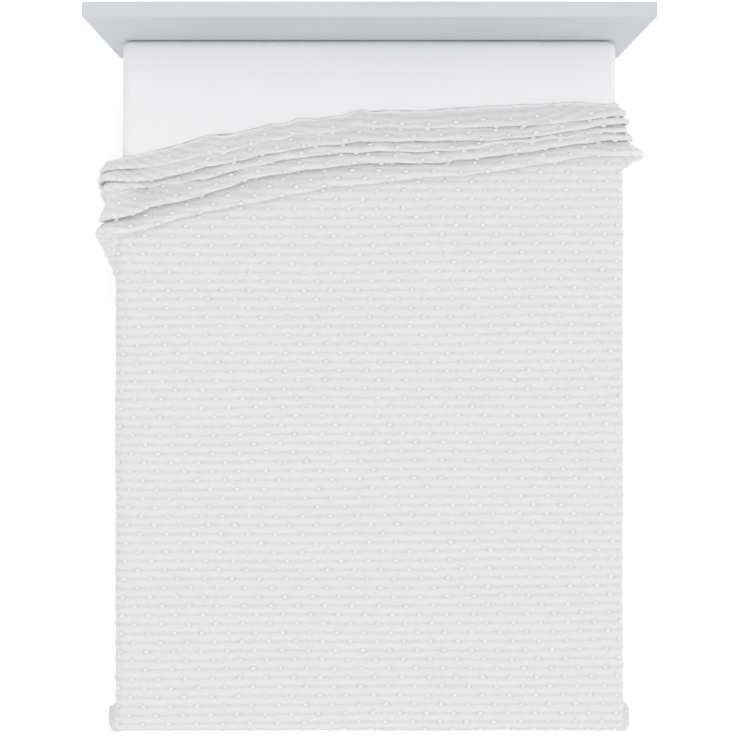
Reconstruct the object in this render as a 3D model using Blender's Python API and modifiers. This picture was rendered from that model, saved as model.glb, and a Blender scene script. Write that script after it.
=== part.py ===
"""A ribbed throw blanket draped over a double bed.

Metres, +Z up, the head of the bed at +Y, the floor at Z = 0 and the middle of the bed at X = Y = 0.
The cloth is worked out on its own flat size first: `across` runs from side hem to side hem and
`along` from the foot hem to the head hem. Every point of it is then laid over the bed: flat on the
mattress, down over its sides and foot, and bunched into leaning folds at its head end.
"""

import math

import bmesh
import bpy
import numpy as np
from mathutils import Matrix, Vector, geometry

OBJECT_NAME = "throw_blanket_on_bed"

# The bed
MATTRESS_WIDTH = 1.37
MATTRESS_LENGTH = 1.90
MATTRESS_THICKNESS = 0.22
MATTRESS_EDGE = 0.030
MATTRESS_EDGE_STEPS = 4
BED_TOP = 0.50
BASE_WIDTH = 1.33
BASE_LENGTH = 1.86
BASE_HEIGHT = 0.18
BASE_EDGE = 0.012
LEG_SIZE = 0.060
LEG_TAPER = 0.70
LEG_INSET = 0.110
HEADBOARD_WIDTH = 1.48
HEADBOARD_THICKNESS = 0.040
HEADBOARD_TOP = 0.90
HEADBOARD_BOTTOM = 0.12
HEADBOARD_EDGE = 0.004
TOUCH_GAP = 0.0003

# The blanket, cut flat
BLANKET_WIDTH = 2.00
BLANKET_LENGTH = 2.20
CLOTH_THICKNESS = 0.002
RIB_PITCH = 0.025
RIB_RELIEF = 0.002
RIB_ROUNDNESS = 0.6
FOLDED_RELIEF = 0.0003

# How it lies
SIDE_CLEARANCE = 0.0165
FOOT_DROP = 0.10
EDGE_SOFTNESS = 0.045
SLEEVE_HALF_ANGLE = math.radians(8.5)
SLEEVE_SOFTNESS = math.radians(34)
# The hanging cloth swings in two waves. Each row is its length, its share of the sway, its start in radians
# and what is added to that start on the left side.
SWAY = 0.007
SWAY_WAVES = (
    (0.41, 1.0, 0.0, 1.3),
    (0.27, 0.6, 1.0, 2.73),
)
SWAY_GROWTH = 1.5
HEM_FLARE = 0.010

# The folds lean towards the foot: a point moves this far footwards for each metre of its height. They
# lie flatter on top of the bed than where they hang, and change between these distances across.
LEAN_ON_TOP = 1.35
LEAN_ON_SIDES = 0.60
LEAN_CHANGE = (0.54, 0.72)
CREST_WIDTH = 0.013
CREASE_WIDTH = 0.011
NOSE = 0.006
LEAST_CREST_STEP = 0.014
LEAST_CREST_WIDTH = 0.007
# No crest or crease is wider than this share of its step from the fold before.
CREST_SHARE = 0.35
CREASE_SHARE = 0.40
LANDING_RUN = 0.004
HEM_REST = 0.008
# A fold's wall runs straight from this far below its crest to this far above its crease.
WALL_ROUND = 0.007
# A crease lies this share of the way from one crest to the next. It takes up CREASE_ROOM and then
# gets this much deeper for each metre between the crests.
CREASE_PLACE = 0.58
CREASE_ROOM = 0.009
CREASE_STEEPNESS = 2.3
SWELL_LIMITS = (0.75, 1.35)

# Where each crease and the head hem lie along the bed (Y), at distances across the cloth.
# toe is where the cloth first leaves the mattress; each crease runs under the foot side of its fold.
CREASE_COLUMNS = ("across", "toe", "front", "second", "third", "fourth", "back", "hem")
CREASES = np.array(
    (
        (-1.00, 0.245, 0.410, 0.450, 0.530, 0.558, 0.586, 0.616),
        (-0.80, 0.285, 0.412, 0.447, 0.532, 0.554, 0.585, 0.616),
        (-0.70, 0.388, 0.408, 0.450, 0.536, 0.552, 0.586, 0.618),
        (-0.60, 0.434, 0.430, 0.479, 0.537, 0.557, 0.592, 0.632),
        (-0.45, 0.478, 0.472, 0.517, 0.559, 0.590, 0.618, 0.666),
        (-0.30, 0.506, 0.499, 0.565, 0.597, 0.621, 0.650, 0.703),
        (-0.15, 0.540, 0.532, 0.586, 0.622, 0.647, 0.678, 0.721),
        (0.00, 0.557, 0.549, 0.603, 0.633, 0.660, 0.692, 0.734),
        (0.15, 0.578, 0.565, 0.602, 0.634, 0.664, 0.697, 0.748),
        (0.30, 0.590, 0.576, 0.616, 0.640, 0.664, 0.701, 0.757),
        (0.45, 0.614, 0.598, 0.636, 0.656, 0.674, 0.705, 0.768),
        (0.60, 0.637, 0.622, 0.658, 0.678, 0.698, 0.722, 0.764),
        (0.70, 0.634, 0.624, 0.668, 0.689, 0.712, 0.736, 0.774),
        (0.80, 0.602, 0.632, 0.680, 0.698, 0.722, 0.746, 0.780),
        (1.00, 0.598, 0.644, 0.694, 0.716, 0.742, 0.766, 0.800),
    )
)

# How high each fold stands above the mattress, or out from its side, before it takes up the slack.
CREST_COLUMNS = ("across", "front", "second", "third", "fourth", "back")
CRESTS = np.array(
    (
        (-1.00, 0.060, 0.042, 0.048, 0.054, 0.052),
        (-0.80, 0.048, 0.032, 0.036, 0.042, 0.038),
        (-0.70, 0.041, 0.034, 0.024, 0.036, 0.020),
        (-0.60, 0.028, 0.036, 0.013, 0.030, 0.017),
        (-0.45, 0.026, 0.034, 0.025, 0.029, 0.018),
        (-0.30, 0.028, 0.032, 0.028, 0.028, 0.016),
        (-0.15, 0.028, 0.029, 0.028, 0.028, 0.015),
        (0.00, 0.029, 0.028, 0.028, 0.030, 0.015),
        (0.15, 0.029, 0.028, 0.026, 0.030, 0.018),
        (0.30, 0.028, 0.029, 0.022, 0.029, 0.022),
        (0.45, 0.028, 0.028, 0.020, 0.028, 0.024),
        (0.60, 0.030, 0.024, 0.020, 0.025, 0.020),
        (0.70, 0.043, 0.025, 0.017, 0.020, 0.016),
        (0.80, 0.048, 0.031, 0.016, 0.016, 0.014),
        (1.00, 0.042, 0.032, 0.023, 0.026, 0.022),
    )
)

# The share of its fold's height at which each crease lies: 0 on the mattress, 1 level with the crest.
CREASE_FLOORS = {"front": 0.0, "second": 0.10, "third": 0.28, "fourth": 0.16, "back": 0.42}
# Over the left side of the bed the folds hang packed together, so their creases stay this full.
PACKED_SIDE = (-1.00, -0.74, -0.66)
PACKED_FILL = (0.92, 0.75, 0.0)
# Over the right side the folds behind the front one are pressed in against the mattress.
PRESSED_SIDE = (0.67, 0.73)
PRESSED_IN = 0.009

# How finely the cloth's solid is divided
FINE_ACROSS = 121
FINE_ALONG = 1101
SPAN_SAMPLES = 12
BLUR_TAPS = 7
SLEEVE_TAPS = 13
SWELL_ROUNDS = 20
SLOPE_STEP = 0.002
# The flat cloth's angles round a foot corner: 0 points straight out to the side, 90 to the foot.
FIRST_TURN = -120.0
LAST_TURN = 210.0
TURN_STEPS = 1321
RIB_ROWS = 2
FOLD_ROW_MARGIN = 0.008
FOOT_END = 0.20
FOOT_COLUMNS = (
    *(0.0, 0.35, 0.60, 0.65, 0.67, 0.685, 0.70, 0.72),
    *(0.745, 0.77, 0.80, 0.83, 0.87, 0.91, 0.955, 1.0),
)
PLAIN_COLUMNS = (0.0, 0.65, 0.67, 0.70, 0.745, 0.86, 1.0)
FOLD_COLUMNS = (0.0, 0.11, 0.22, 0.32, 0.42, 0.51, 0.59, 0.65, 0.67, 0.69, 0.715, 0.75, 0.82, 0.91, 1.0)
INNER_FOOT_PITCH = 0.0125
INNER_PLAIN_PITCH = 0.025


def clear_scene():
    for item in list(bpy.data.objects):
        bpy.data.objects.remove(item)
    for group in list(bpy.data.collections):
        bpy.data.collections.remove(group)


def finish(name, colour, roughness):
    """A plain material of one colour."""
    material = bpy.data.materials.new(name)
    material.use_nodes = True
    surface = material.node_tree.nodes["Principled BSDF"]
    surface.inputs["Base Color"].default_value = (*colour, 1.0)
    surface.inputs["Roughness"].default_value = roughness
    material.diffuse_color = (*colour, 1.0)
    return material


def add_object(collection, name, mesh, material):
    item = bpy.data.objects.new(name, mesh)
    item.data.materials.append(material)
    collection.objects.link(item)
    return item


def add_block(collection, name, size, centre, edge, steps, material):
    """A box of the given size with its edges rounded."""
    body = bmesh.new()
    bmesh.ops.create_cube(body, size=1.0)
    bmesh.ops.scale(body, vec=size, verts=body.verts)
    mesh = bpy.data.meshes.new(name)
    body.to_mesh(mesh)
    body.free()
    item = add_object(collection, name, mesh, material)
    item.location = centre
    rounding = item.modifiers.new("rounded edges", "BEVEL")
    rounding.width = edge
    rounding.segments = steps
    rounding.limit_method = "ANGLE"
    return item


def column(table, names, name, across):
    """One column of a table at each distance across, on a smooth curve through its rows."""
    places = table[:, 0]
    values = table[:, names.index(name)]
    slopes = np.gradient(values, places)
    row = np.clip(np.searchsorted(places, across) - 1, 0, len(places) - 2)
    step = places[row + 1] - places[row]
    t = (across - places[row]) / step
    start = (1 + 2 * t) * (1 - t) ** 2 * values[row] + t * (1 - t) ** 2 * step * slopes[row]
    end = t * t * (3 - 2 * t) * values[row + 1] - t * t * (1 - t) * step * slopes[row + 1]
    return start + end


def straight_wall(near, far):
    """Two points on the line between two bends, near enough to each to round it closely."""
    near, far = np.array(near), np.array(far)
    share = min(WALL_ROUND / np.linalg.norm(far - near), 1 / 3)
    return tuple(near + share * (far - near)), tuple(far - share * (far - near))


def lean(across):
    """How far the folds lean at a distance across."""
    share = np.clip((abs(across) - LEAN_CHANGE[0]) / (LEAN_CHANGE[1] - LEAN_CHANGE[0]), 0.0, 1.0)
    return LEAN_ON_TOP + (LEAN_ON_SIDES - LEAN_ON_TOP) * share * share * (3 - 2 * share)


def fold_outline(across, swell):
    """The corners of one section through the folds, as (leaning-free Y, height) pairs. A crease
    between two close folds is shallower, because two thicknesses of cloth fill it."""
    toe = column(CREASES, CREASE_COLUMNS, "toe", across)
    hem = column(CREASES, CREASE_COLUMNS, "hem", across)
    packed = np.interp(across, PACKED_SIDE, PACKED_FILL)
    pressed = PRESSED_IN * np.interp(across, PRESSED_SIDE, (0.0, 1.0))
    bends = [((toe - CREASE_WIDTH, 0.0), (toe, 0.0))]
    place, height, base = toe, 0.0, 0.0
    for name in CREST_COLUMNS[1:]:
        crest = swell * column(CRESTS, CREST_COLUMNS, name, across) + base
        line = column(CREASES, CREASE_COLUMNS, name, across)
        top = max(line + NOSE + lean(across) * crest, place + LEAST_CREST_STEP)
        step = top - place
        if name != "front":
            least = min(height, crest)
            deepest = least - CREASE_STEEPNESS * max(step - CREASE_ROOM, 0.0)
            floor = max(base + max(CREASE_FLOORS[name], packed) * (least - base), deepest)
            middle = place + CREASE_PLACE * step
            half = min(CREASE_WIDTH, CREASE_SHARE * step) / 2
            bends.append(((middle - half, floor), (middle + half, floor)))
        half = np.clip(CREST_SHARE * step, LEAST_CREST_WIDTH, CREST_WIDTH) / 2
        bends.append(((top - half, crest), (top + half, crest)))
        place, height, base = top, crest, -pressed
    floor = base + packed * (height - base)
    left = place + half + LANDING_RUN
    end = max(hem + lean(across) * floor, left + HEM_REST)
    landing = max(end - CREST_WIDTH, left)
    bends.append(((landing, floor), ((landing + end) / 2, floor)))
    corners = [(toe - 2 * CREST_WIDTH, 0.0)]
    for near, far in zip(bends, bends[1:]):
        corners += [*near, *straight_wall(near[1], far[0])]
    return np.array([*corners, *bends[-1], (end, floor)])


def spline(corners):
    """A smooth curve that rounds off a line of corners, starting and ending on its end corners."""
    first = 2 * corners[0] - corners[1]
    last = 2 * corners[-1] - corners[-2]
    points = np.vstack((first, corners, last))
    spans = len(points) - 3
    t = np.linspace(0, spans, spans * SPAN_SAMPLES + 1)
    span = np.minimum(t.astype(int), spans - 1)
    t = (t - span)[:, None]
    return (
        (1 - t) ** 3 * points[span]
        + (3 * t**3 - 6 * t**2 + 4) * points[span + 1]
        + (-3 * t**3 + 3 * t**2 + 3 * t + 1) * points[span + 2]
        + t**3 * points[span + 3]
    ) / 6


def leaning_section(across, swell):
    """The section's curve with its lean, and the length of cloth up to each of its points."""
    curve = spline(fold_outline(across, swell))
    curve[:, 0] -= lean(across) * curve[:, 1]
    steps = np.linalg.norm(np.diff(curve, axis=0), axis=1)
    return curve, np.concatenate(([0.0], np.cumsum(steps)))


def foot_edge():
    """The place along the bed where the cloth turns down at the foot."""
    return -MATTRESS_LENGTH / 2 - SIDE_CLEARANCE - CLOTH_THICKNESS / 2


def settled_section(across):
    """The section whose folds have swelled until they take up all of the cloth: its curve, how far
    along the cloth it starts, and how far along the cloth each of its points lies."""
    low, high = SWELL_LIMITS
    for _ in range(SWELL_ROUNDS):
        swell = (low + high) / 2
        curve, lengths = leaning_section(across, swell)
        start = curve[0, 0] - foot_edge() + FOOT_DROP
        if start + lengths[-1] > BLANKET_LENGTH:
            high = swell
        else:
            low = swell
    return curve, start, start + lengths * (BLANKET_LENGTH - start) / lengths[-1]


def laid_section(across, along):
    """For distances along the cloth: how far each has run over the bed, and how high it stands."""
    curve, start, reached = settled_section(across)
    run = np.interp(along, reached, curve[:, 0]) - foot_edge() + FOOT_DROP
    rise = np.interp(along, reached, curve[:, 1])
    return np.where(along > start, run, along), np.where(along > start, rise, 0.0)


def corner_directions():
    """Directions in which the cloth leaves a foot corner of the mattress, for angles of the flat
    cloth round that corner: down the side, round a loose hanging cone, and down the foot.
    The axes are outwards, towards the head, and up."""
    turns = np.radians(np.linspace(FIRST_TURN, LAST_TURN, TURN_STEPS))
    round_cone = np.clip(turns / (math.pi / 2), 0.0, 1.0) * 2 * math.pi
    out = SLEEVE_HALF_ANGLE * (1 - np.cos(round_cone))
    aside = SLEEVE_HALF_ANGLE * np.sin(round_cone)
    x = (out + aside) / math.sqrt(2)
    y = (aside - out) / math.sqrt(2)
    tilt = np.maximum(np.hypot(x, y), 1e-9)
    x, y = x / tilt * np.sin(tilt), y / tilt * np.sin(tilt)
    z = -np.cos(tilt)
    side, foot = turns < 0, turns > math.pi / 2
    y = np.where(side, -np.sin(turns), y)
    x = np.where(foot, np.cos(turns), x)
    z = np.where(side, -np.cos(turns), np.where(foot, -np.sin(turns), z))
    sharp = np.stack((x, y, z), axis=1)
    soft = 0.0
    for tap in np.linspace(-1, 1, SLEEVE_TAPS + 2)[1:-1]:
        turned = turns + tap * SLEEVE_SOFTNESS
        near = np.stack([np.interp(turned, turns, sharp[:, axis]) for axis in range(3)], axis=1)
        soft = soft + (1 - abs(tap)) * near
    return turns, unit(soft)


def sharp_drape(across, run, directions):
    """Cloth laid over the bed with sharp edges: flat on top and hanging beyond the sides and foot."""
    turns, ways = directions
    half = MATTRESS_WIDTH / 2 + SIDE_CLEARANCE + CLOTH_THICKNESS / 2
    top = BED_TOP + TOUCH_GAP + CLOTH_THICKNESS / 2
    sign = np.where(across < 0, -1.0, 1.0)
    over_side = np.abs(across) - half
    over_foot = FOOT_DROP - run
    reach = np.hypot(over_side, over_foot)
    turn = np.arctan2(over_foot, over_side)
    hanging = (over_side > 0) | (over_foot > 0)
    x = np.where(hanging, half + reach * np.interp(turn, turns, ways[:, 0]), np.abs(across))
    y = np.where(hanging, reach * np.interp(turn, turns, ways[:, 1]), -over_foot)
    z = np.where(hanging, reach * np.interp(turn, turns, ways[:, 2]), 0.0)
    return np.stack((sign * x, foot_edge() + y, top + z), axis=-1)


def drape(across, run, directions):
    """The same cloth with its edges and corners rounded, each point averaged with those round it."""
    taps = np.linspace(-1, 1, BLUR_TAPS + 2)[1:-1]
    weights = 1 - np.abs(taps)
    weights /= weights.sum()
    total = 0.0
    for side_tap, side_weight in zip(taps, weights):
        for run_tap, run_weight in zip(taps, weights):
            total = total + side_weight * run_weight * sharp_drape(
                across + EDGE_SOFTNESS * side_tap, run + EDGE_SOFTNESS * run_tap, directions
            )
    return total


def unit(vectors):
    return vectors / np.linalg.norm(vectors, axis=-1, keepdims=True)


def hanging_sway(across, run, depth):
    """How far the hanging cloth swings out from straight, more the lower it hangs."""
    low = np.clip(depth / (BLANKET_WIDTH / 2 - MATTRESS_WIDTH / 2), 0.0, 1.0)
    waves = 0.0
    for length, share, start, left in SWAY_WAVES:
        turn = 2 * math.pi * run / length + start + np.where(across < 0, left, 0.0)
        waves = waves + share * np.sin(turn)
    return low**SWAY_GROWTH * (HEM_FLARE + SWAY * waves)


def cloth_surface():
    """Points and outward directions of the cloth's middle surface on a fine grid of the flat cloth,
    with every column of the solid among its own."""
    half = BLANKET_WIDTH / 2
    columns = [mirrored(names) for names in (FOOT_COLUMNS, PLAIN_COLUMNS, FOLD_COLUMNS)]
    across = np.unique(np.concatenate((np.linspace(-half, half, FINE_ACROSS).round(3), *columns)))
    along = np.linspace(0.0, BLANKET_LENGTH, FINE_ALONG)
    sections = [laid_section(place, along) for place in across]
    run = np.array([section[0] for section in sections])
    rise = np.array([section[1] for section in sections])
    wide = np.repeat(across[:, None], FINE_ALONG, axis=1)
    directions = corner_directions()
    lying = drape(wide, run, directions)
    to_side = drape(wide + SLOPE_STEP, run, directions) - lying
    to_head = drape(wide, run + SLOPE_STEP, directions) - lying
    out = unit(np.cross(to_side, to_head))
    depth = np.clip(BED_TOP - lying[..., 2], 0.0, None)
    points = lying + out * (rise + hanging_sway(wide, run, depth))[..., None]
    slope_side = np.gradient(points, across, axis=0)
    slope_head = np.gradient(points, along, axis=1)
    return across, along, points, unit(np.cross(slope_side, slope_head))


def sampled(grid, across, along, places):
    """Values of a grid over the flat cloth at the given (across, along) places."""
    column_place = np.interp(places[:, 0], across, np.arange(len(across)))
    row_place = np.interp(places[:, 1], along, np.arange(len(along)))
    i = np.minimum(column_place.astype(int), len(across) - 2)
    j = np.minimum(row_place.astype(int), len(along) - 2)
    extra = (slice(None),) + (None,) * (grid.ndim - 2)
    s = (column_place - i)[extra]
    t = (row_place - j)[extra]
    near = grid[i, j] * (1 - s) + grid[i + 1, j] * s
    far = grid[i, j + 1] * (1 - s) + grid[i + 1, j + 1] * s
    return near * (1 - t) + far * t


def rib_relief(along, ribbed):
    """Height of the ribs: broad round bands with narrow grooves, pressed flat in the folds."""
    band = np.abs(np.sin(math.pi * along / RIB_PITCH)) ** RIB_ROUNDNESS
    return np.where(ribbed, RIB_RELIEF * band, FOLDED_RELIEF)


def mirrored(columns):
    return tuple(-place for place in reversed(columns[1:])) + columns


def even_rows(start, end, pitch):
    """Distances from start up to, but not including, end."""
    count = max(1, round((end - start) / pitch))
    return [start + (end - start) * row / count for row in range(count)]


def flat_lines(foot_pitch, plain_pitch, fold_starts):
    """Lines of (across, along) places over the flat and hanging cloth, ending short of the folds."""
    last = max(fold_starts)
    zones = ((0.0, FOOT_END, foot_pitch, FOOT_COLUMNS), (FOOT_END, last, plain_pitch, PLAIN_COLUMNS))
    lines = []
    for start, end, pitch, columns in zones:
        for along in even_rows(start, end, pitch):
            line = []
            for across in mirrored(columns):
                if along < np.interp(across, mirrored(FOLD_COLUMNS), fold_starts) - FOLD_ROW_MARGIN:
                    line.append((across, along))
                else:
                    lines.append(line)
                    line = []
            lines.append(line)
    return lines


def fold_lines(sections):
    """Lines of (across, along) places that follow the folds from side to side, one for each corner."""
    columns = mirrored(FOLD_COLUMNS)
    samples = range(0, len(sections[0][2]), SPAN_SAMPLES)
    return [[(across, section[2][k]) for across, section in zip(columns, sections)] for k in samples]


def face_over(lines):
    """The places of all the lines, and triangles between them that keep each line as edges."""
    places = [place for line in lines for place in line]
    edges, first = [], 0
    for line in lines:
        edges += [(first + k, first + k + 1) for k in range(len(line) - 1)]
        first += len(line)
    found = geometry.delaunay_2d_cdt([Vector(place) for place in places], edges, [], 0, 1e-7)
    points, faces, sources = found[0], found[2], found[3]
    number = {k: source[0] for k, source in enumerate(sources)}
    assert len(points) == len(places)
    return np.array(places), [tuple(number[k] for k in face) for face in faces]


def strip(near, far):
    """Triangles between two lines of (place, point number) pairs, taken up in order of place."""
    faces = []
    i = j = 0
    while i < len(near) - 1 or j < len(far) - 1:
        near_is_next = i < len(near) - 1 and (j == len(far) - 1 or near[i + 1][0] <= far[j + 1][0])
        if near_is_next:
            faces.append((near[i][1], near[i + 1][1], far[j][1]))
            i += 1
        else:
            faces.append((near[i][1], far[j + 1][1], far[j][1]))
            j += 1
    return faces


def hem(places, first_number, axis, value):
    """The points on one hem as (place, point number) pairs in order; axis 0 is across, 1 along."""
    on_hem = np.flatnonzero(np.abs(places[:, axis] - value) < 1e-9)
    return sorted((places[k, 1 - axis], first_number + int(k)) for k in on_hem)


def add_blanket(collection, material):
    """The whole cloth as one closed sheet: its ribbed outer face, its plain inner face and its hems."""
    across, along, points, normals = cloth_surface()
    sections = [settled_section(place) for place in mirrored(FOLD_COLUMNS)]
    starts = [section[1] for section in sections]
    folds = fold_lines(sections)
    rib_lines = flat_lines(RIB_PITCH / RIB_ROWS, RIB_PITCH / RIB_ROWS, starts)
    outer_places, outer_faces = face_over(rib_lines + folds)
    inner_places, inner_faces = face_over(flat_lines(INNER_FOOT_PITCH, INNER_PLAIN_PITCH, starts) + folds)
    ribbed = np.arange(len(outer_places)) < sum(len(line) for line in rib_lines)

    relief = rib_relief(outer_places[:, 1], ribbed)
    outer_out = unit(sampled(normals, across, along, outer_places))
    outer_points = sampled(points, across, along, outer_places)
    outer_points = outer_points + outer_out * (CLOTH_THICKNESS / 2 + relief)[:, None]
    inner_out = unit(sampled(normals, across, along, inner_places))
    inner_points = sampled(points, across, along, inner_places) - inner_out * CLOTH_THICKNESS / 2

    shift = len(outer_places)
    faces = outer_faces + [tuple(k + shift for k in reversed(face)) for face in inner_faces]
    half = BLANKET_WIDTH / 2
    hems = ((0, half, True), (0, -half, False), (1, 0.0, True), (1, BLANKET_LENGTH, False))
    for axis, value, outwards in hems:
        outer_hem = hem(outer_places, 0, axis, value)
        inner_hem = hem(inner_places, shift, axis, value)
        faces += strip(inner_hem, outer_hem) if outwards else strip(outer_hem, inner_hem)

    mesh = bpy.data.meshes.new("throw_blanket")
    mesh.from_pydata(np.vstack((outer_points, inner_points)).tolist(), [], faces)
    mesh.shade_smooth()
    return add_object(collection, "throw_blanket", mesh, material)


def add_mattress(collection, material):
    size = (MATTRESS_WIDTH, MATTRESS_LENGTH, MATTRESS_THICKNESS)
    centre = (0.0, 0.0, BED_TOP - MATTRESS_THICKNESS / 2)
    return add_block(collection, "mattress", size, centre, MATTRESS_EDGE, MATTRESS_EDGE_STEPS, material)


def add_base(collection, material):
    top = BED_TOP - MATTRESS_THICKNESS - TOUCH_GAP
    size = (BASE_WIDTH, BASE_LENGTH, BASE_HEIGHT)
    centre = (0.0, (MATTRESS_LENGTH - BASE_LENGTH) / 2, top - BASE_HEIGHT / 2)
    return add_block(collection, "bed_base", size, centre, BASE_EDGE, 2, material)


def add_headboard(collection, material):
    height = HEADBOARD_TOP - HEADBOARD_BOTTOM
    size = (HEADBOARD_WIDTH, HEADBOARD_THICKNESS, height)
    front = MATTRESS_LENGTH / 2 + TOUCH_GAP
    centre = (0.0, front + HEADBOARD_THICKNESS / 2, HEADBOARD_BOTTOM + height / 2)
    return add_block(collection, "headboard", size, centre, HEADBOARD_EDGE, 2, material)


def add_leg(collection, name, x, y, material):
    """A square leg that narrows towards the floor."""
    height = BED_TOP - MATTRESS_THICKNESS - BASE_HEIGHT - 2 * TOUCH_GAP
    body = bmesh.new()
    bmesh.ops.create_cone(
        body,
        cap_ends=True,
        segments=4,
        radius1=LEG_SIZE * LEG_TAPER / math.sqrt(2),
        radius2=LEG_SIZE / math.sqrt(2),
        depth=height,
    )
    bmesh.ops.rotate(body, verts=body.verts, matrix=Matrix.Rotation(math.pi / 4, 3, "Z"))
    mesh = bpy.data.meshes.new(name)
    body.to_mesh(mesh)
    body.free()
    item = add_object(collection, name, mesh, material)
    item.location = (x, y, height / 2)
    return item


def add_legs(collection, material):
    x = BASE_WIDTH / 2 - LEG_INSET
    y_head = MATTRESS_LENGTH / 2 - LEG_INSET
    y_foot = MATTRESS_LENGTH / 2 - BASE_LENGTH + LEG_INSET
    for side, sign in (("left", -1), ("right", 1)):
        for end, y in (("head", y_head), ("foot", y_foot)):
            add_leg(collection, f"leg_{end}_{side}", sign * x, y, material)


def main():
    clear_scene()
    collection = bpy.data.collections.new(OBJECT_NAME)
    bpy.context.scene.collection.children.link(collection)
    add_blanket(collection, finish("white plush", (0.80, 0.80, 0.80), 0.95))
    add_mattress(collection, finish("white cotton", (0.84, 0.84, 0.85), 0.90))
    paint = finish("pale blue grey paint", (0.58, 0.62, 0.68), 0.55)
    add_base(collection, paint)
    add_headboard(collection, paint)
    add_legs(collection, finish("dark stained wood", (0.10, 0.07, 0.05), 0.55))


main()
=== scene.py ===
"""A white ribbed and dotted plush throw, draped over a double bed and bunched in folds near its headboard.

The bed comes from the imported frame. The throw is laid over it again, finer: its ribs, tufts, hems and
stitches are worked out on the flat cloth, from hem to hem, and then carried over the mattress, down its
sides and through the folds.
"""

import logging
import math
from dataclasses import dataclass, field
from enum import Enum
from typing import Callable, Iterable, Sequence, Union

import bpy
import numpy as np
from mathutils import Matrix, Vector


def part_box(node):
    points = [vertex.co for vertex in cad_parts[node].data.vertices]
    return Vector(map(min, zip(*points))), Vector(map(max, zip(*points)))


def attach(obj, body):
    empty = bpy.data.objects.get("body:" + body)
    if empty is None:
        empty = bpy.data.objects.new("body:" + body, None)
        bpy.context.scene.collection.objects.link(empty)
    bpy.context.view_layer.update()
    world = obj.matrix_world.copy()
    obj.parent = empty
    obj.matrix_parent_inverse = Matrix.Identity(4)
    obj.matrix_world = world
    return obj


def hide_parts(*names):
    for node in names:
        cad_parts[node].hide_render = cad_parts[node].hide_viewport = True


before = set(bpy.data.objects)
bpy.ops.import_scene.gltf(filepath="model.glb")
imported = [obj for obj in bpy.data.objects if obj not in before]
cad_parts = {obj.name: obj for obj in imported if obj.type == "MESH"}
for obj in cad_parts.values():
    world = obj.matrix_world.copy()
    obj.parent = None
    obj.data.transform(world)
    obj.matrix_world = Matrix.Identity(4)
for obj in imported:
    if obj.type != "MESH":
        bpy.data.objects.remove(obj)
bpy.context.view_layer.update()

log = logging.getLogger("throw")

Colour = tuple[float, float, float]
Point = tuple[float, float, float]
Array = np.ndarray
Material = bpy.types.Material
Node = bpy.types.Node
Piece = bpy.types.Object
Socket = bpy.types.NodeSocket

FULL_TURN = 2 * math.pi
RIB_PITCH = 0.025
TUFT_PITCH = 0.075
TUFT_SLANT = 0.06


class Line(Enum):
    """A column of the table of creases: where that line crosses the bed."""

    TOE = 1
    FRONT = 2
    SECOND = 3
    THIRD = 4
    FOURTH = 5
    BACK = 6
    HEM = 7


class PatternSpace(Enum):
    """What a finish's pattern is fixed to."""

    CLOTH = "cloth"
    OBJECT = "object"


def operator(operation: str, reflected: bool = False) -> Callable[["Value", "Number"], "Value"]:
    """Makes a method of Value that adds one Math node.

    Args:
        operation: the Math node's operation.
        reflected: whether the value itself comes second, as in 1 - value.

    Returns:
        The method.
    """

    def method(self: "Value", other: "Number" = 0.0) -> "Value":
        """Adds the node and gives its result."""
        ends = (other, self) if reflected else (self, other)
        node = self.nodes.add("ShaderNodeMath", {"operation": operation}, dict(enumerate(ends)))
        return Value(self.nodes, node.outputs[0])

    return method


class Value:
    """A number that varies over a surface: a node socket with Python's operators."""

    def __init__(self, nodes: "Nodes", socket: Socket) -> None:
        """Wraps a socket.

        Args:
            nodes: the tree that the socket belongs to.
            socket: an output socket.
        """
        self.nodes = nodes
        self.socket = socket

    __add__, __radd__ = operator("ADD"), operator("ADD", reflected=True)
    __sub__, __rsub__ = operator("SUBTRACT"), operator("SUBTRACT", reflected=True)
    __mul__, __rmul__ = operator("MULTIPLY"), operator("MULTIPLY", reflected=True)
    __truediv__, __rtruediv__ = operator("DIVIDE"), operator("DIVIDE", reflected=True)
    __pow__, __rpow__ = operator("POWER"), operator("POWER", reflected=True)
    __abs__, sine = operator("ABSOLUTE"), operator("SINE")
    at_most, at_least = operator("MINIMUM"), operator("MAXIMUM")
    nearest_whole, fraction, remainder = operator("ROUND"), operator("FRACT"), operator("MODULO")

    def ramp(self, low: float, high: float) -> "Value":
        """0 below low, 1 above high and straight between them."""
        return ((self - low) / (high - low)).at_least(0.0).at_most(1.0)


Number = Union[Value, float]


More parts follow.
